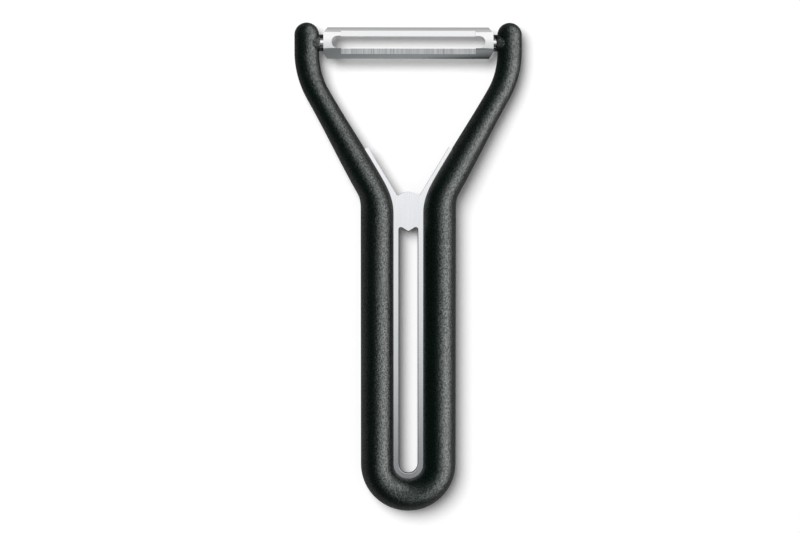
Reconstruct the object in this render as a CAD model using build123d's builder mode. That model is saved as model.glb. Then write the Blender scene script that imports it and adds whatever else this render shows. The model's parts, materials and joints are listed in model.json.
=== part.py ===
from build123d import *
from math import acos, cos, degrees, radians, sin, sqrt, tan
import os

# Y-shaped vegetable peeler with a swivelling double-edged blade, lying on a table.
# +X runs along the blade, +Y up the handle towards the blade and +Z up.
# The origin is under the middle of the outline, on the table. Millimetres and degrees.

# Overall size
overall_length = 150.0
overall_width = 69.5

# Handle moulding: two legs joined by a loop, opening into two arms
leg_width = 10.1
leg_gap = 9.0
grip_thickness = 12.0
shoulder_width = 8.95
elbow_width = 7.2
tip_width = 7.5
tip_thickness = 5.3
shoulder_share = 0.142
elbow_depth = 15.9
shoulder_bend = 16.0
elbow_bend = 26.0
taper_lead = 4.3
taper_tail = 6.9

# Hinge of the blade: bosses on the arms, blind bores and forked stops
hinge_depth = 6.2
boss_diameter = 4.8
boss_reach = 4.05
fork_reach = 2.1
fork_slot = 2.7
rest_tilt = 10.0
stop_clearance = 0.1

# Journal pins
pin_diameter = 2.25
pin_radial_clearance = 0.05
pin_end_clearance = 0.2
pin_bore_depth = 3.2
pin_hold = 2.2
weld_depth = 0.1

# Blade: a strip rolled to a gutter, with a long slot ground sharp on both sides
blade_end_gap = 1.0
blade_width = 9.8
blade_radius = 7.2
blade_thickness = 0.85
slot_end_width = 2.5
blade_slot_width = 3.8
bevel_end_width = 5.4
bevel_span = 7.2
edge_land = 0.08
corner_length = 1.3
corner_depth = 2.1

# Stainless frame, stamped from sheet and held in the moulding by its outer rim
sheet_thickness = 1.5
rim_depth = 2.0
hanging_slot_width = 5.8
slot_peak_drop = 8.4
slot_valley_depth = 1.8
slot_corner_radius = 0.65
slot_valley_radius = 0.3
stamped_edge_radius = 0.25
crown_rise = 2.1
notch_depth = 1.35
notch_radius = 0.45
strip_show = 1.1
strip_rise = 15.8

# One overrun for every cut that passes right through
overrun = 1.0

# Places worked out from the sizes above
mid_height = grip_thickness / 2
leg_x = (leg_gap + leg_width) / 2
arm_x = (overall_width - tip_width) / 2
loop_y = -overall_length / 2 + leg_gap / 2 + leg_width
tip_y = overall_length / 2 - tip_width / 2
shoulder_height = shoulder_share * overall_length
elbow_height = overall_length / 2 - elbow_depth
hinge_height = overall_length / 2 - hinge_depth
hinge = Vector(0, hinge_height, mid_height)
boss_radius = boss_diameter / 2
boss_span = 2 * (arm_x - boss_reach)
blade_length = boss_span - 2 * blade_end_gap
pin_radius = pin_diameter / 2
bore_radius = pin_radius + pin_radial_clearance
inner_radius = blade_radius - blade_thickness
gutter_drop = inner_radius - pin_radius + weld_depth
slot_radius = hanging_slot_width / 2
slot_peak_height = shoulder_height - slot_peak_drop
slot_valley_height = slot_peak_height - slot_valley_depth
crown_height = shoulder_height + crown_rise
notch_height = crown_height - notch_depth
rim_x = leg_gap / 2 + rim_depth

# The straight part of each arm, between its two bends
shoulder_corner = Vector(leg_x, shoulder_height)
elbow_corner = Vector(arm_x, elbow_height)
arm_direction = (elbow_corner - shoulder_corner).normalized()
arm_turn = radians(Vector(0, 1).get_angle(arm_direction))
arm_start = shoulder_corner + arm_direction * shoulder_bend * tan(arm_turn / 2)
arm_end = elbow_corner - arm_direction * elbow_bend * tan(arm_turn / 2)

# The inner side of that part, which the steel strips of the frame run along
inward = Vector(-arm_direction.Y, arm_direction.X)
inner_start = arm_start + inward * shoulder_width / 2
inner_end = arm_end + inward * elbow_width / 2
strip_direction = (inner_end - inner_start).normalized()
strip_inward = Vector(-strip_direction.Y, strip_direction.X)
strip_edge = inner_start + strip_inward * strip_show


def on_strip_edge(height):
    """The point of the right strip's free edge at a height above the origin."""
    return strip_edge + strip_direction * (height - strip_edge.Y) / strip_direction.Y


# The blade leans until the inside of its gutter meets the stops of one side.
# The stops end where the boss's outline meets the gutter less the clearance.
reach = inner_radius - stop_clearance
meeting_cosine = (boss_radius**2 + gutter_drop**2 - reach**2) / (2 * boss_radius * gutter_drop)
stop_height = -boss_radius * cos(acos(meeting_cosine) - radians(rest_tilt))

blade_normal = Vector(0, sin(radians(rest_tilt)), cos(radians(rest_tilt)))
blade_plane = Plane(origin=hinge, x_dir=(1, 0, 0), z_dir=blade_normal)
blade_section = Plane(origin=hinge, x_dir=blade_plane.y_dir, z_dir=(1, 0, 0))
sheet_plane = Plane.XY.offset(mid_height - sheet_thickness / 2)

os.makedirs("parts", exist_ok=True)


# Outline of the stainless frame, with its hanging slot
notch = on_strip_edge(notch_height)
strip_end = on_strip_edge(shoulder_height + strip_rise)
strip_back = strip_end - strip_inward * (strip_show + rim_depth)
rim_corner = strip_back - strip_direction * (strip_back.X - rim_x) / strip_direction.X

with BuildSketch(sheet_plane) as frame_outline:
    with BuildLine():
        ThreePointArc((-notch.X, notch_height), (0, crown_height), (notch.X, notch_height))
        right_side = Polyline(notch, strip_end, strip_back, rim_corner, (rim_x, loop_y))
        mirror(right_side, about=Plane.YZ)
        CenterArc(center=(0, loop_y), radius=rim_x, start_angle=180, arc_size=180)
    make_face()
    fillet(frame_outline.vertices().group_by(Axis.Y)[-3], radius=notch_radius)
    with BuildLine():
        FilletPolyline(
            (-slot_radius, loop_y),
            (-slot_radius, slot_peak_height),
            (0, slot_valley_height),
            (slot_radius, slot_peak_height),
            (slot_radius, loop_y),
            radius=[slot_corner_radius, slot_valley_radius, slot_corner_radius],
        )
        CenterArc(center=(0, loop_y), radius=slot_radius, start_angle=180, arc_size=180)
    make_face(mode=Mode.SUBTRACT)

# Centre line of the whole moulding, from the left tip round the loop to the right tip
with BuildLine(Plane.XY.offset(mid_height)) as handle_route:
    right_route = FilletPolyline(
        (leg_x, loop_y),
        (leg_x, shoulder_height),
        (arm_x, elbow_height),
        (arm_x, tip_y),
        radius=[shoulder_bend, elbow_bend],
    )
    mirror(right_route, about=Plane.YZ)
    CenterArc(center=(0, loop_y), radius=leg_x, start_angle=180, arc_size=180)

# Its lines and arcs in order, with the moulding's width where each one ends and the
# number of oval sections that each one has
half_widths = [tip_width, tip_width, elbow_width, shoulder_width, leg_width, leg_width]
route_widths = half_widths + half_widths[::-1]
half_counts = [2, 4, 6, 3, 10]
section_counts = half_counts + [8] + half_counts[::-1]


def smooth(share):
    """A share eased in and out, so that the sides run on without a kink."""
    return share**2 * (3 - 2 * share)


def oval_section(width, distance):
    """An oval across the route, thinner the further up the arms it is."""
    place = distance / route.length
    middle = route @ place
    tangent = route.tangent_at(place)
    outward = Vector(tangent.Y, -tangent.X)
    rise = (middle.Y - taper_start) / (taper_end - taper_start)
    taper = smooth(min(max(rise, 0), 1))
    thickness = grip_thickness + (tip_thickness - grip_thickness) * taper
    with BuildSketch(Plane(origin=middle, x_dir=outward, z_dir=tangent)) as section:
        Ellipse(width / 2, thickness / 2)
    return section.sketch


route = handle_route.wire()
taper_start = shoulder_height - taper_lead
taper_end = elbow_height + taper_tail
ovals = []
travelled = 0
for piece, count, start_width, end_width in zip(
    handle_route.edges().sort_by(route), section_counts, route_widths, route_widths[1:]
):
    for step in range(count):
        width = start_width + (end_width - start_width) * smooth(step / count)
        ovals.append(oval_section(width, travelled + piece.length * step / count))
    travelled += piece.length
ovals.append(oval_section(tip_width, route.length))

# Half of a flattened ball, for the ends of the arms
with BuildPart() as tip_dome:
    Sphere(tip_width / 2)
    split(bisect_by=Plane.XZ, keep=Keep.BOTTOM)
    scale(by=(1, 1, tip_thickness / tip_width))


with BuildPart() as handle:
    # Legs, loop and arms in one run of ovals
    loft(ovals)

    for side in (-1, 1):
        with Locations((side * arm_x, tip_y, mid_height)):
            add(tip_dome.part)

        # Boss for the blade's journal, its nose cut to a fork that stops the blade
        nose_plane = Plane.YZ.offset(side * (boss_span / 2 - fork_reach))
        with BuildSketch(nose_plane):
            with Locations((hinge_height, mid_height)):
                Circle(boss_radius)
        extrude(amount=side * (arm_x - boss_span / 2 + fork_reach))
        with BuildSketch(nose_plane):
            with Locations((hinge_height, mid_height)):
                Rectangle(fork_slot, boss_diameter + overrun)
            with Locations((hinge_height, mid_height + stop_height)):
                Rectangle(
                    boss_diameter + overrun, boss_diameter, align=(Align.CENTER, Align.MIN)
                )
        extrude(amount=side * fork_reach, mode=Mode.SUBTRACT)

    # Blind bores for the journals
    with Locations(Plane(origin=hinge, z_dir=(1, 0, 0))):
        Cylinder(bore_radius, boss_span + 2 * pin_bore_depth, mode=Mode.SUBTRACT)

    # Groove that the frame's rim is held in
    extrude(frame_outline.sketch, amount=sheet_thickness, mode=Mode.SUBTRACT)

handle.part.label = "handle"
export_step(handle.part, "parts/handle.step")


with BuildPart() as steel_frame:
    extrude(frame_outline.sketch, amount=sheet_thickness)
    # The die leaves the upper edge of the slot slightly round
    top_face = steel_frame.faces().sort_by(Axis.Z)[-1]
    fillet(top_face.inner_wires()[0].edges(), radius=stamped_edge_radius)

steel_frame.part.label = "steel_frame"
export_step(steel_frame.part, "parts/steel_frame.step")


def gutter_height(across, radius):
    """Height of the gutter's surface of a radius above the hinge line."""
    return sqrt(radius**2 - across**2) - gutter_drop


with BuildPart() as blade:
    # Rolled strip
    half_angle = degrees(acos(sqrt(1 - (blade_width / 2 / blade_radius) ** 2)))
    with BuildSketch(blade_section):
        with BuildLine():
            outside = CenterArc((0, -gutter_drop), blade_radius, 90 - half_angle, 2 * half_angle)
            inside = CenterArc((0, -gutter_drop), inner_radius, 90 - half_angle, 2 * half_angle)
            Line(outside @ 0, inside @ 0)
            Line(outside @ 1, inside @ 1)
        make_face()
    extrude(amount=blade_length / 2, both=True)

    # Slot that the peel passes through
    with BuildSketch(blade_plane):
        SlotOverall(blade_length - 2 * slot_end_width, blade_slot_width)
    extrude(amount=blade_radius, both=True, mode=Mode.SUBTRACT)

    # Bevels ground from outside on both edges of the slot
    edge_x = blade_slot_width / 2
    edge_y = gutter_height(edge_x, inner_radius) + edge_land
    bevel_x = bevel_span / 2
    bevel_y = gutter_height(bevel_x, blade_radius)
    with BuildSketch(blade_section):
        Polygon(
            (bevel_x, bevel_y),
            (bevel_x, blade_radius),
            (-bevel_x, blade_radius),
            (-bevel_x, bevel_y),
            (-edge_x, edge_y),
            (edge_x, edge_y),
            align=None,
        )
    extrude(amount=blade_length / 2 - bevel_end_width, both=True, mode=Mode.SUBTRACT)

    # Corners cut off the strip's ends
    end_x = blade_length / 2
    side_y = blade_width / 2
    with BuildSketch(blade_plane):
        Polygon(
            (end_x - corner_length, side_y),
            (end_x, side_y - corner_depth),
            (end_x + overrun, side_y - corner_depth),
            (end_x + overrun, side_y + overrun),
            (end_x - corner_length, side_y + overrun),
            align=None,
        )
        mirror(about=Plane.XZ)
        mirror(about=Plane.YZ)
    extrude(amount=blade_radius, both=True, mode=Mode.SUBTRACT)

blade.part.label = "blade"
export_step(blade.part, "parts/blade.step")


# Journal pins, welded under the blade's ends and running in the bosses
pin_start = blade_length / 2 - pin_hold
pin_end = boss_span / 2 + pin_bore_depth - pin_end_clearance

for side, name in ((-1, "pivot_pin_left"), (1, "pivot_pin_right")):
    with BuildPart() as pin:
        start_plane = blade_section.offset(side * pin_start)
        with BuildSketch(start_plane):
            Circle(pin_radius)
        extrude(amount=side * (pin_end - pin_start))
        # Seat against the inside of the gutter
        with BuildSketch(start_plane):
            with Locations((0, -gutter_drop)):
                Circle(blade_radius)
                Circle(inner_radius, mode=Mode.SUBTRACT)
        extrude(amount=side * pin_hold, mode=Mode.SUBTRACT)

    pin.part.label = name
    export_step(pin.part, f"parts/{name}.step")
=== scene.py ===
"""Looks of a Y-shaped vegetable peeler: moulded grip, stamped steel frame and swivelling blade.

Everything is in metres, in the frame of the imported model: +X along the blade, +Y up the
handle towards the blade and +Z up from the table.
"""

import json
import math

import bmesh
import bpy
from mathutils import Matrix, Vector


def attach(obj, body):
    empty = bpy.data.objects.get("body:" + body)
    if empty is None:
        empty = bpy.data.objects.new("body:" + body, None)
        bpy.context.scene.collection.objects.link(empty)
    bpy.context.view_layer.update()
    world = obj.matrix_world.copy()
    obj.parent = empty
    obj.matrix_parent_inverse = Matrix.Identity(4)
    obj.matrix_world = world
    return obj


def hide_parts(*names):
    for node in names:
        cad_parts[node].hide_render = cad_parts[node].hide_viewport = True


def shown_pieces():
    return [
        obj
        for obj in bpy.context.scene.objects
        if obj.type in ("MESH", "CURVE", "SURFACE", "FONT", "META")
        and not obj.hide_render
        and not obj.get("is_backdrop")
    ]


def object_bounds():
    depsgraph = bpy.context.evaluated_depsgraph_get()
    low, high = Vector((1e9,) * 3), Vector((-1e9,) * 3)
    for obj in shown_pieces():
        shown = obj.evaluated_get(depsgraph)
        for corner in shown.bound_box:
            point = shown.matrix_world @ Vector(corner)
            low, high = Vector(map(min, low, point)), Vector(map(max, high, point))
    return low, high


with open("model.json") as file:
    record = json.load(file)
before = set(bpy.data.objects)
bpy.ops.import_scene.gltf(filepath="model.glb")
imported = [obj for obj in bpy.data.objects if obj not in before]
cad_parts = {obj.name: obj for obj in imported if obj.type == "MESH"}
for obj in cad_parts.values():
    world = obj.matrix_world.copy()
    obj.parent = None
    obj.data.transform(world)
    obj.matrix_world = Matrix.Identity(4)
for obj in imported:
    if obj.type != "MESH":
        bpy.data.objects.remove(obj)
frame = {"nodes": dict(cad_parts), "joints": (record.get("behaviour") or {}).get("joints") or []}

bl_info = {
    "name": "Swivel Peeler",
    "version": (1, 0, 0),
    "blender": (4, 5, 0),
    "location": "3D View > Sidebar > Peeler",
    "description": "Dresses the packed peeler in moulded plastic and steel and sets it on a table",
    "category": "Object",
}

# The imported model: its box and the middle of the blade's hinge
PACKED_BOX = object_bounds()
HINGE = Vector(frame["joints"][0]["pos_m"])

# Shape of the grip, in metres where it isn't a count or a share
ARM_X = 0.031  # from the middle of the peeler to the middle of each arm's tip
RING_STEP = 0.0007  # about what lies between two ovals along the grip
RING_SIDES = 96
TIP_RINGS = 24
BOSS_SIDES = 64
STOP_SIDES = 10  # along the round back of each stop
NOSE_ROUNDING = 0.07  # radius of the boss's outer edge, as a share of the boss's radius
STOP_ROOT = 1.5  # how far the stops reach into the boss, in radii of that edge
SEAM_GAP = 1e-7  # points closer than this are joined where the two halves meet
SHARP_ANGLE = math.radians(35)

# Sizes of the marks in the finishes, in metres along X, Y and Z
WEAR_PATCH = (0.013, 0.02, 0.013)
SHEET_PATCH = (0.004, 0.012, 0.004)
BLADE_PATCH = (0.006, 0.006, 0.006)
ROLLING_MARK = (0.03, 0.0002, 0.0002)
SCRATCH_LENGTH = 0.02
TURNING_MARK = (0.00012, 0.01, 0.01)
TABLE_PATCH = (0.3, 0.3, 0.3)

# Depths of the marks in the finishes, in metres
BRUSHING_DEPTH = 0.000004
GRINDING_DEPTH = 0.000008
TURNING_DEPTH = 0.000003

# The range that most of a noise's values lie in
NOISE_RANGE = (0.3, 0.7)

# Least and greatest specular level of the plastic's grain. It fades to a share of that between
# two angles, where 0 is seen from the front and 1 edge on.
GRAIN_SHINE = (0.10, 0.32)
FADE_ANGLES = (0.40, 0.85)
FADED_SHARE = 0.05

# Least and greatest roughness of the finishes, and what a cut edge adds to it
SHEET_ROUGHNESS = (0.11, 0.15)
CUT_ROUGHNESS = 0.35
BLADE_ROUGHNESS = (0.06, 0.10)
GROUND_ROUGHNESS = (0.26, 0.38)

# Lamps and table, in metres
GRIP_LAMP_SIZE = (2.6, 1.8)
CEILING_SIZE = (10.0, 4.6)  # of each half of the ceiling that the steel mirrors
CEILING_HEIGHT = 1.2
TABLE_DROP = 0.00002  # keeps the table just clear of the part

# Brightness across the lamps, as pairs of a place and a level. A level of 1 is the brightness
# that the settings give the lamp.
# The ceiling over the blade's side, as the frame and the blade mirror it: metres from its edge
# on the loop's side
SHEET_LEVELS = ((0.0, 0.10), (0.05, 0.13), (0.09, 0.28), (0.135, 0.51), (0.20, 0.71), (0.26, 0.78),
                (0.30, 0.84), (0.35, 0.93), (0.80, 1.0))
BLADE_LEVELS = ((0.0, 0.16), (0.13, 0.16), (0.17, 0.70), (0.45, 0.74), (0.70, 0.79), (1.0, 0.90),
                (1.4, 1.0))
# The ceiling over the loop's side: metres along X from the middle
SHADE_LEVELS = ((-5.0, 2.4), (-0.8, 2.2), (-0.35, 0.9), (-0.10, 0.7), (-0.03, 0.5), (0.004, 0.86),
                (0.02, 1.10), (0.05, 1.29), (0.085, 1.31), (0.115, 1.22), (0.133, 1.04),
                (0.145, 0.72), (0.156, 0.36), (0.170, 0.06), (0.185, 0.0), (0.32, 0.0),
                (0.5, 1.0), (0.8, 2.2), (5.0, 2.4))
# The grip's lamp: shares of its height from the bottom, and of its width from the loop's end
GRIP_LEVELS = ((0.0, 0.35), (0.15, 0.74), (0.3, 1.0), (0.45, 0.88), (0.6, 0.60), (0.75, 0.36),
               (0.9, 0.22), (1.0, 0.14))
GRIP_ACROSS = ((0.0, 1.05), (0.4, 1.0), (0.5, 0.75), (0.58, 0.5), (0.66, 0.55), (0.8, 0.9),
               (1.0, 1.0))
# Colour of the lamps at a level of 0; they turn to white towards 1. The ceiling over the loop's
# side carries it throughout.
DIM_TINT = Vector((0.93, 1.0, 1.01))


# Settings

def amount(name, description, default, low=0.0, high=5.0, **kind):
    """A number; kind may give it a subtype and a unit."""
    return bpy.props.FloatProperty(name=name, description=description, default=default,
                                   min=low, max=high, **kind)


def length(name, description, default, low=0.00001, high=1.0):
    """A length in metres that the panel shows in the scene's own unit."""
    return amount(name, description, default, low, high, subtype="DISTANCE", unit="LENGTH")


def fraction(name, description, default):
    """A number from 0 to 1."""
    return amount(name, description, default, high=1.0, subtype="FACTOR")


def watts(name, description, default):
    """The power of a lamp."""
    return amount(name, description, default, high=500.0, subtype="POWER", unit="POWER")


def paint(name, description, red, green, blue):
    """A colour."""
    return bpy.props.FloatVectorProperty(name=name, description=description, subtype="COLOR",
                                         size=4, min=0, max=1, default=(red, green, blue, 1))


def spot(name, description, x, y, z):
    """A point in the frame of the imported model."""
    return bpy.props.FloatVectorProperty(name=name, description=description, subtype="XYZ",
                                         unit="LENGTH", size=3, default=(x, y, z))


class MouldingSettings(bpy.types.PropertyGroup):
    leg_width: length("Leg width", "Width of each leg, seen from above", 0.0101)
    leg_gap: length("Leg gap", "Gap between the legs", 0.009)
    thickness: length("Thickness", "Thickness of the legs and the loop", 0.012)
    shoulder_width: length("Shoulder width", "Width just above the shoulder", 0.00895)
    elbow_width: length("Elbow width", "Width of the arm just below the elbow", 0.0072)
    tip_width: length("Tip width", "Width of the arm's tip", 0.0075)
    tip_thickness: length("Tip thickness", "Thickness of the arm's tip", 0.0059)
    leg_fullness: amount("Leg fullness", "Power of the oval across the legs, 2 for an ellipse",
                         2.0, low=1.5, high=4.0)
    tip_fullness: amount("Tip fullness", "Power of the oval across the tip, 2 for an ellipse",
                         1.8, low=1.5, high=4.0)
    shoulder_height: length("Shoulder height", "Where the arm's line leaves the leg's", 0.0213)
    elbow_height: length("Elbow height", "Where the arm's line turns straight again", 0.0591)
    shoulder_bend: length("Shoulder bend", "Radius of the centre line at the shoulder", 0.016)
    elbow_bend: length("Elbow bend", "Radius of the centre line at the elbow", 0.026)
    taper_start: length("Taper start", "Height at which the arms start to get thinner", 0.017)
    taper_end: length("Taper end", "Height at which the arms stop getting thinner", 0.066)
    boss_diameter: length("Boss diameter", "Diameter of the bosses that carry the blade", 0.0051)
    boss_span: length("Boss span", "Distance between the two bosses", 0.0539)
    fork_reach: length("Fork reach", "How far the stops stand out of the bosses", 0.0021)
    fork_slot: length("Fork slot", "Gap between the two stops of a boss", 0.0027)
    stop_rise: length("Stop rise", "How far above the hinge the stops end", 0.00005)
    bore_diameter: length("Bore diameter", "Diameter of the bores that the pins run in", 0.00235)
    bore_depth: length("Bore depth", "Depth of the bores", 0.0032)
    colour: paint("Colour", "Colour of the plastic through its body", 0.0006, 0.0028, 0.0020)
    roughness: fraction("Roughness", "How matt the spark-eroded surface of the mould leaves it",
                        0.36)
    grain_size: length("Grain size", "Width of one grain of the mould's texture", 0.00035,
                       low=0.00005, high=0.002)
    grain_depth: length("Grain depth", "Height of the grain's peaks above its pits", 0.00012,
                        low=0.0, high=0.001)


class FrameSteelSettings(bpy.types.PropertyGroup):
    colour: paint("Colour", "Colour of the stamped sheet's brushed face", 0.77, 0.775, 0.795)
    # The cut edges' colour is painted shade: almost black, for the dark lines where the edges and
    # slot walls lie in shade
    cut_edge_painted_shade: paint("Cut colour", "Colour of the cut edges all round the sheet",
                      0.035, 0.038, 0.038)
    streak_width: length("Streak width", "Width of one streak of the brushing", 0.00012,
                         low=0.00002, high=0.002)
    streak_length: length("Streak length", "Length of one streak of the brushing", 0.006,
                          low=0.0001, high=0.05)


class BladeSettings(bpy.types.PropertyGroup):
    colour: paint("Colour", "Colour of the rolled strip's bright face", 0.695, 0.695, 0.70)
    ground_colour: paint("Ground colour", "Colour of the bevels ground along the slot",
                         0.465, 0.48, 0.49)
    bevel_length: length("Bevel length", "Length of the ground bevels, along the blade", 0.0411,
                         low=0.0, high=0.1)
    bevel_span: length("Bevel span", "Width across both bevels and the slot between them",
                       0.0072, low=0.0, high=0.02)
    lean: bpy.props.FloatProperty(
        name="Lean", description="How far the blade leans at rest on its stops",
        subtype="ANGLE", unit="ROTATION", default=math.radians(10))
    streak_width: length("Streak width", "Width of one scratch of the grinding wheel", 0.00012,
                         low=0.00002, high=0.002)


class PinSettings(bpy.types.PropertyGroup):
    colour: paint("Colour", "Colour of the polished journal pins", 0.78, 0.78, 0.80)
    roughness: fraction("Roughness", "How dull the turned surface of the pins is", 0.16)


class StudioSettings(bpy.types.PropertyGroup):
    floor_colour: paint("Floor colour", "Colour of the table top and backdrop", 0.97, 0.97, 0.97)
    floor_glow: amount("Floor glow", "Light that the camera sees coming from the floor itself",
                       0.04, high=1.0)
    floor_mirrored: fraction(
        "Floor mirrored", "Share of the floor's brightness in what glossy surfaces mirror", 0.55)
    floor_size: length("Floor size", "Width of the square table top", 8.0, low=0.5, high=50.0)
    eye: spot("Eye", "Where the camera stands", -0.032, 0.042, 0.720)
    aim: spot("Aim", "The point in the middle of the picture", -0.00254, 0.00046, 0.006)
    picture_width: length("Picture width", "Width of what the picture shows at the aim", 0.2456,
                          low=0.01, high=5.0)
    key_power: watts("Key power", "Power of the large lamp over the table", 50.0)
    key_width: length("Key width", "Width of the large lamp over the table", 1.35, high=5.0)
    key_place: spot("Key place", "Where the large lamp hangs", -0.70, 0.70, 2.0)
    grip_power: watts("Grip lamp power", "Power of the lamp that draws the light line on the grip",
                      241.0)
    grip_lamp_place: spot("Grip lamp place", "Where the lamp of the light line hangs",
                          0.60, 0.22, 0.72)
    grip_lamp_aim: spot("Grip lamp aim", "The point that the lamp of the light line faces",
                        -0.02, 0.10, 0.0)
    sky: amount("Sky", "Brightness that the steel mirrors from above the blade's side", 1.30)
    shade: amount("Shade", "Brightness that the steel mirrors from above the loop's side", 0.26)
    wall: amount("Wall", "Brightness that the steel mirrors from behind the blade", 0.70)
    sky_edge: length("Sky edge", "Where the bright half of the ceiling ends, along the peeler",
                     -0.30, low=-5.0, high=5.0)
    fill: amount("Fill", "Brightness of the room all round", 0.22, high=2.0)
    gloss_fill: amount("Gloss fill", "Brightness of the room in what glossy surfaces mirror",
                       0.03, high=2.0)


SETTINGS = {
    "peeler_moulding": MouldingSettings,
    "peeler_frame_steel": FrameSteelSettings,
    "peeler_blade": BladeSettings,
    "peeler_pins": PinSettings,
    "peeler_studio": StudioSettings,
}


# Material helpers

def new_material(name):
    """A material with its nodes cleared but for the shader and the output."""
    material = bpy.data.materials.new(name)
    material.use_nodes = True
    nodes = material.node_tree.nodes
    return material, nodes, material.node_tree.links, nodes["Principled BSDF"]


def put_on(piece, material):
    """Give a piece one material in all of its slots."""
    piece.data.materials.clear()
    piece.data.materials.append(material)


def place_node(nodes, kind, x, y, **settings):
    """Add a node at a place in the editor and set what is given."""
    node = nodes.new(kind)
    node.location = (x, y)
    for key, value in settings.items():
        setattr(node, key, value)
    return node


def stretched_noise(nodes, links, x, y, sizes, turn=(0, 0, 0), shift=(0, 0, 0), detail=2.0):
    """Noise in the piece's own coordinates whose grains have the given size along each axis."""
    place = place_node(nodes, "ShaderNodeTexCoord", x, y)
    mapping = place_node(nodes, "ShaderNodeMapping", x + 180, y, vector_type="POINT")
    mapping.inputs["Location"].default_value = shift
    mapping.inputs["Rotation"].default_value = turn
    mapping.inputs["Scale"].default_value = [1 / size for size in sizes]
    noise = place_node(nodes, "ShaderNodeTexNoise", x + 360, y)
    noise.inputs["Scale"].default_value = 1.0
    noise.inputs["Detail"].default_value = detail
    links.new(place.outputs["Object"], mapping.inputs["Vector"])
    links.new(mapping.outputs["Vector"], noise.inputs["Vector"])
    return noise.outputs["Fac"]


def spread(nodes, links, source, x, y, low, high, out_low, out_high):
    """Stretch a value from one range to another."""
    node = place_node(nodes, "ShaderNodeMapRange", x, y)
    node.inputs["From Min"].default_value = low
    node.inputs["From Max"].default_value = high
    node.inputs["To Min"].default_value = out_low
    node.inputs["To Max"].default_value = out_high
    links.new(source, node.inputs["Value"])
    return node.outputs["Result"]


def feed(links, socket, value):
    """Link a socket to another one, or set it to a number or a colour."""
    if isinstance(value, bpy.types.NodeSocket):
        links.new(value, socket)
    else:
        socket.default_value = value


# Places of the mix node's two inputs and its output, by the kind of what it mixes
MIX_SOCKETS = {"FLOAT": (2, 3, 0), "RGBA": (6, 7, 2)}


def blend(nodes, links, factor, x, y, first, second, kind="RGBA"):
    """Mix two colours, or two numbers where kind is FLOAT, each of them fixed or a socket."""
    node = place_node(nodes, "ShaderNodeMix", x, y, data_type=kind)
    first_place, second_place, output_place = MIX_SOCKETS[kind]
    links.new(factor, node.inputs["Factor"])
    feed(links, node.inputs[first_place], first)
    feed(links, node.inputs[second_place], second)
    return node.outputs[output_place]


def maths(nodes, links, operation, x, y, *values):
    """One step of arithmetic on sockets and numbers."""
    node = place_node(nodes, "ShaderNodeMath", x, y, operation=operation)
    for socket, value in zip(node.inputs, values):
        feed(links, socket, value)
    return node.outputs["Value"]


def bump(nodes, links, height, x, y, distance):
    """Turn a height into a bump of a real depth in metres."""
    node = place_node(nodes, "ShaderNodeBump", x, y)
    node.inputs["Strength"].default_value = 1.0
    node.inputs["Distance"].default_value = distance
    links.new(height, node.inputs["Height"])
    return node.outputs["Normal"]


def toned(colour, factor):
    """A colour made darker or lighter."""
    return (*(min(1, part * factor) for part in colour[:3]), 1)


# Materials

def moulded_plastic(settings):
    """Black plastic from a spark-eroded mould: fine grain, a little worn where it is held."""
    material, nodes, links, shader = new_material("moulded_plastic")
    size = settings.grain_size
    grain = stretched_noise(nodes, links, -1500, 100, (size, size, size), detail=3.0)
    cloud = stretched_noise(nodes, links, -1500, -250, WEAR_PATCH, detail=3.0)
    pits = stretched_noise(nodes, links, -1500, -600, (size * 3, size * 3, size * 3), detail=1.0)

    tone = spread(nodes, links, cloud, -900, -250, 0.35, 0.68, 0.0, 1.0)
    tone = blend(nodes, links, tone, -650, 250, settings.colour, toned(settings.colour, 1.5))
    links.new(tone, shader.inputs["Base Color"])

    rough = spread(nodes, links, grain, -900, 0, *NOISE_RANGE, settings.roughness - 0.05,
                   settings.roughness + 0.05)
    worn = spread(nodes, links, cloud, -900, -480, 0.45, 0.75, 0.0, -0.05)
    links.new(maths(nodes, links, "ADD", -650, 0, rough, worn), shader.inputs["Roughness"])

    # The grain glints less where it is seen aslant
    glint = stretched_noise(nodes, links, -1500, 450, (size * 1.3,) * 3, shift=(7, 3, 5),
                            detail=1.0)
    glint = spread(nodes, links, glint, -900, 450, 0.35, 0.65, *GRAIN_SHINE)
    aslant = place_node(nodes, "ShaderNodeLayerWeight", -1100, 700)
    kept = spread(nodes, links, aslant.outputs["Facing"], -900, 700, *FADE_ANGLES, 1.0,
                  FADED_SHARE)
    links.new(maths(nodes, links, "MULTIPLY", -650, 600, glint, kept),
              shader.inputs["Specular IOR Level"])

    height = maths(nodes, links, "MULTIPLY_ADD", -650, -500, pits, 0.6, grain)
    normal = bump(nodes, links, height, -400, -500, settings.grain_depth)
    links.new(normal, shader.inputs["Normal"])
    return material


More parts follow.
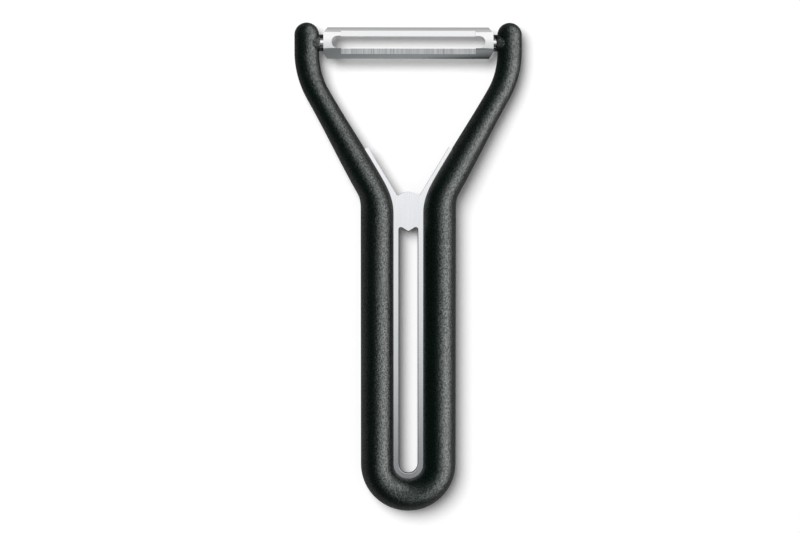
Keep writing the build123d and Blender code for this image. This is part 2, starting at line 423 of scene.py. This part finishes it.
def brushed_sheet(settings):
    """Stainless sheet brushed along the handle, with plain cut edges painted almost black as
    painted shade.
    """
    material, nodes, links, shader = new_material("brushed_sheet")
    streak = (settings.streak_width, settings.streak_length, settings.streak_width)
    streaks = stretched_noise(nodes, links, -1700, 200, streak, detail=2.0)
    broad = stretched_noise(nodes, links, -1700, -150, SHEET_PATCH, detail=2.0)

    # 1 on the flat faces, 0 on the cut edges
    normal = place_node(nodes, "ShaderNodeNewGeometry", -1500, 600)
    parts = place_node(nodes, "ShaderNodeSeparateXYZ", -1300, 600)
    links.new(normal.outputs["True Normal"], parts.inputs["Vector"])
    upright = maths(nodes, links, "ABSOLUTE", -1120, 600, parts.outputs["Z"])
    face = spread(nodes, links, upright, -940, 600, 0.85, 0.995, 0.0, 1.0)

    tone = spread(nodes, links, streaks, -1000, 250, 0.32, 0.68, 0.0, 1.0)
    sheet = blend(nodes, links, tone, -700, 300, toned(settings.colour, 0.93), settings.colour)
    # The cut edges take their near-black colour, a painted shade
    whole = blend(nodes, links, face, -450, 350, settings.cut_edge_painted_shade, sheet)
    links.new(whole, shader.inputs["Base Color"])

    rough = spread(nodes, links, broad, -1000, -100, *NOISE_RANGE, *SHEET_ROUGHNESS)
    edges = maths(nodes, links, "MULTIPLY_ADD", -700, -100, face, -CUT_ROUGHNESS, CUT_ROUGHNESS)
    links.new(maths(nodes, links, "ADD", -450, -100, rough, edges), shader.inputs["Roughness"])
    shader.inputs["Metallic"].default_value = 1.0
    links.new(bump(nodes, links, streaks, -450, -300, BRUSHING_DEPTH), shader.inputs["Normal"])
    return material


def ground_blade(settings):
    """Bright rolled strip whose bevels carry the scratches of the grinding wheel; the upper
    bevel's colour is a painted highlight.
    """
    material, nodes, links, shader = new_material("ground_blade")
    turn = (-settings.lean, 0, 0)
    scratch = (settings.streak_width, SCRATCH_LENGTH, SCRATCH_LENGTH)
    scratches = stretched_noise(nodes, links, -1900, 300, scratch, turn, detail=3.0)
    rolled = stretched_noise(nodes, links, -1900, -50, ROLLING_MARK, turn, detail=2.0)
    broad = stretched_noise(nodes, links, -1900, -400, BLADE_PATCH, detail=2.0)

    # 1 on the two bevels, 0 elsewhere: both lie within a box that leans with the blade
    place = place_node(nodes, "ShaderNodeTexCoord", -1900, 800)
    across = place_node(nodes, "ShaderNodeVectorMath", -1700, 800, operation="DOT_PRODUCT")
    links.new(place.outputs["Object"], across.inputs[0])
    direction = Vector((0, math.cos(settings.lean), -math.sin(settings.lean)))
    across.inputs[1].default_value = direction
    centre = direction.dot(HINGE)
    offset = maths(nodes, links, "SUBTRACT", -1500, 800, across.outputs["Value"], centre)
    lower = maths(nodes, links, "LESS_THAN", -1320, 650, offset, 0.0)
    offset = maths(nodes, links, "ABSOLUTE", -1320, 800, offset)
    parts = place_node(nodes, "ShaderNodeSeparateXYZ", -1700, 1000)
    links.new(place.outputs["Object"], parts.inputs["Vector"])
    along = maths(nodes, links, "ABSOLUTE", -1500, 1000, parts.outputs["X"])
    inside_span = maths(nodes, links, "LESS_THAN", -1140, 800, offset, settings.bevel_span / 2)
    inside_length = maths(nodes, links, "LESS_THAN", -1140, 1000, along, settings.bevel_length / 2)
    ground = maths(nodes, links, "MULTIPLY", -960, 900, inside_span, inside_length)

    # The lower bevel shows its scratches; the upper one gets a smooth colour brighter than the
    # strip's, a painted highlight for the bright ceiling it mirrors
    tone = spread(nodes, links, scratches, -1200, 350, 0.34, 0.66, 0.0, 1.0)
    scratches_and_painted_highlight = blend(nodes, links, tone, -900, 350, toned(settings.ground_colour, 0.52),
                      settings.ground_colour)
    # Off the lower bevel the colour is a painted highlight, 1.18 times the strip's, in place of
    # the scratches
    scratches_and_painted_highlight = blend(nodes, links, lower, -750, 350, toned(settings.colour, 1.18), scratches_and_painted_highlight)
    whole = blend(nodes, links, ground, -600, 500, settings.colour, scratches_and_painted_highlight)
    links.new(whole, shader.inputs["Base Color"])

    plain = spread(nodes, links, broad, -1200, -400, *NOISE_RANGE, *BLADE_ROUGHNESS)
    wheel = spread(nodes, links, scratches, -1200, -150, *NOISE_RANGE, *GROUND_ROUGHNESS)
    rough = blend(nodes, links, ground, -600, 0, plain, wheel, "FLOAT")
    links.new(rough, shader.inputs["Roughness"])
    shader.inputs["Metallic"].default_value = 1.0

    faint = maths(nodes, links, "MULTIPLY", -900, -500, rolled, 0.15)
    height = blend(nodes, links, ground, -600, -400, faint, scratches, "FLOAT")
    links.new(bump(nodes, links, height, -350, -400, GRINDING_DEPTH), shader.inputs["Normal"])
    return material


def polished_pin(settings):
    """Polished steel with faint rings from turning."""
    material, nodes, links, shader = new_material("polished_pin")
    rings = stretched_noise(nodes, links, -1100, 0, TURNING_MARK, detail=2.0)
    tone = spread(nodes, links, rings, -600, 150, *NOISE_RANGE, 0.0, 1.0)
    tone = blend(nodes, links, tone, -400, 200, toned(settings.colour, 0.9), settings.colour)
    links.new(tone, shader.inputs["Base Color"])
    rough = spread(nodes, links, rings, -600, -100, *NOISE_RANGE, settings.roughness - 0.04,
                   settings.roughness + 0.05)
    links.new(rough, shader.inputs["Roughness"])
    shader.inputs["Metallic"].default_value = 1.0
    links.new(bump(nodes, links, rings, -400, -300, TURNING_DEPTH), shader.inputs["Normal"])
    return material


def table_top(settings):
    """White table that keeps the shadow and looks white where nothing shades it."""
    material, nodes, links, shader = new_material("table_top")
    nodes.remove(shader)
    output = nodes["Material Output"]
    colour = settings.floor_colour
    fibre = stretched_noise(nodes, links, -1100, 0, TABLE_PATCH, detail=2.0)
    tone = blend(nodes, links, fibre, -780, 100, colour, toned(colour, 1.01))
    path = place_node(nodes, "ShaderNodeLightPath", -900, -300)
    tone = blend(nodes, links, path.outputs["Is Glossy Ray"], -560, 100, tone,
                 toned(colour, settings.floor_mirrored))
    diffuse = place_node(nodes, "ShaderNodeBsdfDiffuse", -350, 100)
    links.new(tone, diffuse.inputs["Color"])
    seen = maths(nodes, links, "MAXIMUM", -700, -300, path.outputs["Is Camera Ray"],
                 path.outputs["Is Transmission Ray"])
    glow = place_node(nodes, "ShaderNodeEmission", -350, -200)
    links.new(maths(nodes, links, "MULTIPLY", -520, -150, seen, settings.floor_glow),
              glow.inputs["Strength"])
    both = place_node(nodes, "ShaderNodeAddShader", -100, 0)
    links.new(diffuse.outputs["BSDF"], both.inputs[0])
    links.new(glow.outputs["Emission"], both.inputs[1])
    links.new(both.outputs["Shader"], output.inputs["Surface"])
    return material


# Shape of the moulding

def smooth(share):
    """A share eased in and out."""
    return share * share * (3 - 2 * share)


def grip_stations(s):
    """Centre, heading, width, thickness and fullness up the right half, from the loop's foot."""
    low, high = PACKED_BOX
    leg_x = (s.leg_gap + s.leg_width) / 2
    loop_y = low.y + s.leg_gap / 2 + s.leg_width
    tip_y = high.y - s.tip_width / 2
    run = Vector((ARM_X - leg_x, s.elbow_height - s.shoulder_height))
    turn = math.atan2(run.x, run.y)
    shoulder, elbow = (bend * math.tan(turn / 2) for bend in (s.shoulder_bend, s.elbow_bend))
    # Length, curvature, and width at the start and at the end
    pieces = (
        (leg_x * math.pi / 2, 1 / leg_x, s.leg_width, s.leg_width),
        (s.shoulder_height - shoulder - loop_y, 0, s.leg_width, s.leg_width),
        (s.shoulder_bend * turn, -1 / s.shoulder_bend, s.leg_width, s.shoulder_width),
        (run.length - shoulder - elbow, 0, s.shoulder_width, s.elbow_width),
        (s.elbow_bend * turn, 1 / s.elbow_bend, s.elbow_width, s.tip_width),
        (tip_y - s.elbow_height - elbow, 0, s.tip_width, s.tip_width),
    )
    place, heading = Vector((0, loop_y - leg_x, HINGE.z)), 0.0
    stations = []
    for distance, curve, start_width, end_width in pieces:
        count = max(2, round(distance / RING_STEP))
        for i in range(count + 1):
            share = i / count
            angle = heading + curve * distance * share
            if curve:
                shift = Vector((math.sin(angle) - math.sin(heading),
                                math.cos(heading) - math.cos(angle), 0)) / curve
            else:
                shift = Vector((math.cos(heading), math.sin(heading), 0)) * distance * share
            point = place + shift
            # The width is eased from the arm's end towards the leg
            width = end_width + (start_width - end_width) * smooth(1 - share)
            rise = (point.y - s.taper_start) / (s.taper_end - s.taper_start)
            rise = smooth(min(max(rise, 0), 1))
            thick = s.thickness + (s.tip_thickness - s.thickness) * rise
            power = s.leg_fullness + (s.tip_fullness - s.leg_fullness) * rise
            if i or not stations:
                stations.append((point, angle, width, thick, power))
        place, heading = point, angle
    return stations


def oval_ring(mesh, point, angle, width, thick, power):
    """One oval of vertices across the centre line."""
    outward = Vector((math.sin(angle), -math.cos(angle), 0))
    ring = []
    for i in range(RING_SIDES):
        turn = 2 * math.pi * i / RING_SIDES
        across, up = (math.copysign(abs(part) ** (2 / power), part)
                      for part in (math.cos(turn), math.sin(turn)))
        ring.append(mesh.verts.new(point + outward * (across * width / 2)
                                   + Vector((0, 0, up * thick / 2))))
    return ring


def skin(mesh, rings):
    """Join neighbouring rings with quads."""
    for first, second in zip(rings, rings[1:]):
        for i in range(len(first)):
            j = (i + 1) % len(first)
            mesh.faces.new((first[i], first[j], second[j], second[i]))


def add_run(mesh, s):
    """The right half of the legs, loop and arm, with its rounded tip."""
    stations = grip_stations(s)
    rings = [oval_ring(mesh, *station) for station in stations]
    point, angle, width, thick, power = stations[-1]
    ahead = Vector((math.cos(angle), math.sin(angle), 0))
    for i in range(1, TIP_RINGS):
        turn = math.pi / 2 * i / TIP_RINGS
        rings.append(oval_ring(mesh, point + ahead * (math.sin(turn) * width / 2), angle,
                               math.cos(turn) * width, math.cos(turn) * thick, power))
    skin(mesh, rings)
    end = mesh.verts.new(point + ahead * width / 2)
    last = rings[-1]
    for i in range(RING_SIDES):
        mesh.faces.new((last[i], last[(i + 1) % RING_SIDES], end))


def add_boss(mesh, s):
    """The right boss with its bore and its slightly rounded nose."""
    nose, radius, bore = s.boss_span / 2, s.boss_diameter / 2, s.bore_diameter / 2
    edge = radius * NOSE_ROUNDING
    # Place along X and radius, from the bottom of the bore round the nose into the arm
    outline = [(nose + s.bore_depth, 0.0), (nose + s.bore_depth, bore), (nose, bore)]
    outline += [(nose + edge * (1 - math.sin(t)), radius - edge * (1 - math.cos(t)))
                for t in (math.pi / 2, math.pi / 3, math.pi / 6, 0)]
    outline += [(ARM_X, radius), (ARM_X, 0.0)]
    turns = [2 * math.pi * i / BOSS_SIDES for i in range(BOSS_SIDES)]
    rings = []
    for x, r in outline:
        if r == 0:
            rings.append([mesh.verts.new((x, HINGE.y, HINGE.z))])
        else:
            rings.append([mesh.verts.new((x, HINGE.y + r * math.cos(t), HINGE.z + r * math.sin(t)))
                          for t in turns])
    for first, second in zip(rings, rings[1:]):
        if len(first) == 1:
            for i in range(BOSS_SIDES):
                mesh.faces.new((first[0], second[i], second[(i + 1) % BOSS_SIDES]))
        elif len(second) == 1:
            for i in range(BOSS_SIDES):
                mesh.faces.new((first[(i + 1) % BOSS_SIDES], first[i], second[0]))
        else:
            skin(mesh, [first, second])


def add_stops(mesh, s):
    """The two stops that stand out of the right boss, one on each side of the pin."""
    nose, radius = s.boss_span / 2, s.boss_diameter / 2
    root = radius * NOSE_ROUNDING * STOP_ROOT
    inner_y = s.fork_slot / 2
    start = math.acos(inner_y / radius)
    stop = -math.asin(s.stop_rise / radius)
    turns = [start + (stop - start) * i / STOP_SIDES for i in range(1, STOP_SIDES + 1)]
    section = [(inner_y, s.stop_rise), (inner_y, -radius * math.sin(start))]
    section += [(radius * math.cos(t), -radius * math.sin(t)) for t in turns]
    for side in (-1, 1):
        ends = [[mesh.verts.new((x, HINGE.y + side * y, HINGE.z + z)) for y, z in section]
                for x in (nose - s.fork_reach, nose + root)]
        skin(mesh, ends)
        for end in ends:
            mesh.faces.new(end)


def make_grip(s):
    """The whole moulding as one piece: the right half and its mirror image."""
    mesh = bmesh.new()
    add_run(mesh, s)
    add_boss(mesh, s)
    add_stops(mesh, s)
    half = mesh.verts[:] + mesh.edges[:] + mesh.faces[:]
    copy = bmesh.ops.duplicate(mesh, geom=half)["geom"]
    for vertex in copy:
        if isinstance(vertex, bmesh.types.BMVert):
            vertex.co.x = -vertex.co.x
    bmesh.ops.remove_doubles(mesh, verts=mesh.verts[:], dist=SEAM_GAP)
    bmesh.ops.recalc_face_normals(mesh, faces=mesh.faces[:])
    data = bpy.data.meshes.new("grip_moulding")
    mesh.to_mesh(data)
    mesh.free()
    data.shade_smooth()
    data.set_sharp_from_angle(angle=SHARP_ANGLE)
    grip = bpy.data.objects.new("grip_moulding", data)
    bpy.context.scene.collection.objects.link(grip)
    return grip


# Lamps

def hang_lamp(scene, name, shape, size, place, target, power, lit=None):
    """Hang a soft lamp that faces a point and lights only the pieces in lit, if any are given."""
    light = bpy.data.lights.new(name, "AREA")
    light.shape = shape
    light.size, light.size_y = size
    light.energy = power
    lamp = bpy.data.objects.new(name, light)
    lamp.visible_camera = False
    lamp.location = place
    aim = (Vector(target) - Vector(place)).normalized()
    lamp.rotation_euler = aim.to_track_quat("-Z", "Y").to_euler()
    scene.collection.objects.link(lamp)
    if lit:
        receivers = bpy.data.collections.new(name + "_receivers")
        for piece in lit:
            receivers.objects.link(piece)
        lamp.light_linking.receiver_collection = receivers
    return lamp


def level_ramp(nodes, links, source, x, y, levels):
    """A colour ramp through levels, scaled to the brightest of them, which it gives too."""
    ramp = place_node(nodes, "ShaderNodeValToRGB", x, y)
    links.new(source, ramp.inputs["Fac"])
    brightest = max(level for _, level in levels)
    stops = ramp.color_ramp.elements
    # A new ramp has two stops
    for _ in levels[2:]:
        stops.new(0.5)
    for stop, (place, level) in zip(stops, levels):
        stop.position = place
        colour = DIM_TINT.lerp(Vector((1, 1, 1)), min(level, 1)) * (level / brightest)
        stop.color = (*colour, 1)
    return ramp.outputs["Color"], brightest


def grade_lamp(lamp, levels, axis="Y", across=()):
    """Let a lamp's brightness follow levels at shares of its height, or of its width where axis
    is X; across adds levels at shares of its width to those of its height."""
    lamp.visible_diffuse = False
    lamp.data.use_nodes = True
    nodes, links = lamp.data.node_tree.nodes, lamp.data.node_tree.links
    place = place_node(nodes, "ShaderNodeNewGeometry", -900, 0)
    parts = place_node(nodes, "ShaderNodeSeparateXYZ", -700, 0)
    links.new(place.outputs["Parametric"], parts.inputs["Vector"])
    emission = nodes["Emission"]
    colour, brightest = level_ramp(nodes, links, parts.outputs[axis], -500, 0, levels)
    links.new(colour, emission.inputs["Color"])
    emission.inputs["Strength"].default_value = brightest
    if across:
        share, widest = level_ramp(nodes, links, parts.outputs["X"], -500, -300, across)
        links.new(maths(nodes, links, "MULTIPLY", -200, -300, share, brightest * widest),
                  emission.inputs["Strength"])


# Operators

class PEELER_OT_moulding(bpy.types.Operator):
    """Shape and finish the grip, one moulding of black plastic"""
    bl_idname = "peeler.moulding"
    bl_label = "Moulded grip"
    bl_options = {"REGISTER", "UNDO"}

    def execute(self, context):
        settings = context.scene.peeler_moulding
        grip = make_grip(settings)
        put_on(grip, moulded_plastic(settings))
        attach(grip, "grip")
        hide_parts("handle")
        return {"FINISHED"}


class PEELER_OT_steel_frame(bpy.types.Operator):
    """Finish the stamped steel frame between the legs of the grip"""
    bl_idname = "peeler.steel_frame"
    bl_label = "Steel frame"
    bl_options = {"REGISTER", "UNDO"}

    def execute(self, context):
        sheet = frame["nodes"]["steel_frame"]
        put_on(sheet, brushed_sheet(context.scene.peeler_frame_steel))
        return {"FINISHED"}


class PEELER_OT_blade(bpy.types.Operator):
    """Finish the swivelling blade with its ground bevels"""
    bl_idname = "peeler.blade"
    bl_label = "Swivel blade"
    bl_options = {"REGISTER", "UNDO"}

    def execute(self, context):
        strip = frame["nodes"]["blade"]
        put_on(strip, ground_blade(context.scene.peeler_blade))
        return {"FINISHED"}


class PEELER_OT_pins(bpy.types.Operator):
    """Finish the two journal pins that the blade turns on"""
    bl_idname = "peeler.pins"
    bl_label = "Journal pins"
    bl_options = {"REGISTER", "UNDO"}

    def execute(self, context):
        finish = polished_pin(context.scene.peeler_pins)
        for name in ("pivot_pin_left", "pivot_pin_right"):
            put_on(frame["nodes"][name], finish)
        return {"FINISHED"}


class PEELER_OT_studio(bpy.types.Operator):
    """Set the table, the lamps and the camera"""
    bl_idname = "peeler.studio"
    bl_label = "Table, lamps and camera"
    bl_options = {"REGISTER", "UNDO"}

    def execute(self, context):
        settings = context.scene.peeler_studio
        self.lay_table(settings)
        self.hang_lamps(context.scene, settings)
        self.light_room(context.scene, settings)
        self.stand_camera(context.scene, settings)
        context.scene.view_settings.view_transform = "Standard"
        return {"FINISHED"}

    def lay_table(self, settings):
        """A square table top just under the part."""
        half = settings.floor_size / 2
        mesh = bpy.data.meshes.new("table")
        corners = [(-half, -half, 0), (half, -half, 0), (half, half, 0), (-half, half, 0)]
        mesh.from_pydata(corners, [], [(0, 1, 2, 3)])
        table = bpy.data.objects.new("table", mesh)
        table.location.z = PACKED_BOX[0].z - TABLE_DROP
        bpy.context.scene.collection.objects.link(table)
        put_on(table, table_top(settings))
        table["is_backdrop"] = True

    def hang_lamps(self, scene, settings):
        """One lamp for the room, one for the grip, and a ceiling and a wall for the steel."""
        key = hang_lamp(scene, "key_lamp", "DISK", (settings.key_width, settings.key_width),
                        settings.key_place, (0, 0, 0), settings.key_power)
        key.visible_glossy = False
        steels = [frame["nodes"][name] for name in
                  ("steel_frame", "blade", "pivot_pin_left", "pivot_pin_right")]
        grips = [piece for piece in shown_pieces() if piece not in steels]
        strip = hang_lamp(scene, "grip_lamp", "RECTANGLE", GRIP_LAMP_SIZE,
                          settings.grip_lamp_place, settings.grip_lamp_aim, settings.grip_power,
                          grips)
        grade_lamp(strip, GRIP_LEVELS, across=GRIP_ACROSS)

        # A lamp whose brightness is 1 has a power of pi times its area
        width, depth = CEILING_SIZE
        unit_power = width * depth * math.pi
        middle = settings.sky_edge + depth / 2
        for name, lit, levels in (("sheet_lamp", steels[:1], SHEET_LEVELS),
                                  ("blade_lamp", steels[1:], BLADE_LEVELS)):
            sky = hang_lamp(scene, name, "RECTANGLE", CEILING_SIZE,
                            (0, middle, CEILING_HEIGHT), (0, middle, 0),
                            settings.sky * unit_power, lit)
            grade_lamp(sky, [(place / depth, level) for place, level in levels])
        middle = settings.sky_edge - depth / 2
        shade = hang_lamp(scene, "shade_lamp", "RECTANGLE", CEILING_SIZE,
                          (0, middle, CEILING_HEIGHT), (0, middle, 0),
                          settings.shade * unit_power, steels)
        shade.data.color = DIM_TINT
        grade_lamp(shade, [(0.5 + place / width, level) for place, level in SHADE_LEVELS], "X")

        back = settings.sky_edge + depth
        wall = hang_lamp(scene, "wall_lamp", "RECTANGLE", (width, CEILING_HEIGHT),
                         (0, back, CEILING_HEIGHT / 2), (0, 0, CEILING_HEIGHT / 2),
                         settings.wall * width * CEILING_HEIGHT * math.pi, steels)
        wall.visible_diffuse = False

    def light_room(self, scene, settings):
        """A room that is white to the camera and dim to the part."""
        world = bpy.data.worlds.new("room")
        world.use_nodes = True
        scene.world = world
        nodes, links = world.node_tree.nodes, world.node_tree.links
        background = nodes["Background"]
        path = place_node(nodes, "ShaderNodeLightPath", -900, -350)
        dim = blend(nodes, links, path.outputs["Is Glossy Ray"], -450, -50, settings.fill,
                    settings.gloss_fill, "FLOAT")
        eyes = maths(nodes, links, "MAXIMUM", -450, -300, path.outputs["Is Camera Ray"],
                     path.outputs["Is Transmission Ray"])
        shown = blend(nodes, links, eyes, -250, -50, dim, 1.0, "FLOAT")
        background.inputs["Color"].default_value = (1, 1, 1, 1)
        links.new(shown, background.inputs["Strength"])

    def stand_camera(self, scene, settings):
        """A camera above the part, level with +X, that shows the picture's width at the aim."""
        eye, aim = Vector(settings.eye), Vector(settings.aim)
        ahead = (aim - eye).normalized()
        up = (Vector((0, 1, 0)) - ahead * ahead.y).normalized()
        right = ahead.cross(up)
        turn = Matrix((right, up, -ahead)).transposed().to_4x4()
        data = bpy.data.cameras.new("camera")
        data.lens = data.sensor_width * (aim - eye).length / settings.picture_width
        data.dof.use_dof = False
        camera = bpy.data.objects.new("camera", data)
        camera.matrix_world = Matrix.Translation(eye) @ turn
        scene.collection.objects.link(camera)
        scene.camera = camera


class PEELER_PT_panel(bpy.types.Panel):
    """Lists the peeler's pieces and their settings"""
    bl_label = "Peeler"
    bl_idname = "PEELER_PT_panel"
    bl_space_type = "VIEW_3D"
    bl_region_type = "UI"
    bl_category = "Peeler"

    def draw(self, context):
        for operator, settings in STEPS:
            box = self.layout.box()
            box.operator(operator.bl_idname)
            group = getattr(context.scene, settings)
            for name in group.__annotations__:
                box.prop(group, name)


STEPS = (
    (PEELER_OT_moulding, "peeler_moulding"),
    (PEELER_OT_steel_frame, "peeler_frame_steel"),
    (PEELER_OT_blade, "peeler_blade"),
    (PEELER_OT_pins, "peeler_pins"),
    (PEELER_OT_studio, "peeler_studio"),
)
CLASSES = (*SETTINGS.values(), *(operator for operator, _ in STEPS), PEELER_PT_panel)


def register():
    for cls in CLASSES:
        bpy.utils.register_class(cls)
    for name, group in SETTINGS.items():
        setattr(bpy.types.Scene, name, bpy.props.PointerProperty(type=group))


def unregister():
    for name in SETTINGS:
        delattr(bpy.types.Scene, name)
    for cls in reversed(CLASSES):
        bpy.utils.unregister_class(cls)


def main():
    """Build every piece and the stage."""
    register()
    bpy.ops.peeler.moulding()
    bpy.ops.peeler.steel_frame()
    bpy.ops.peeler.blade()
    bpy.ops.peeler.pins()
    bpy.ops.peeler.studio()


if __name__ == "__main__":
    main()
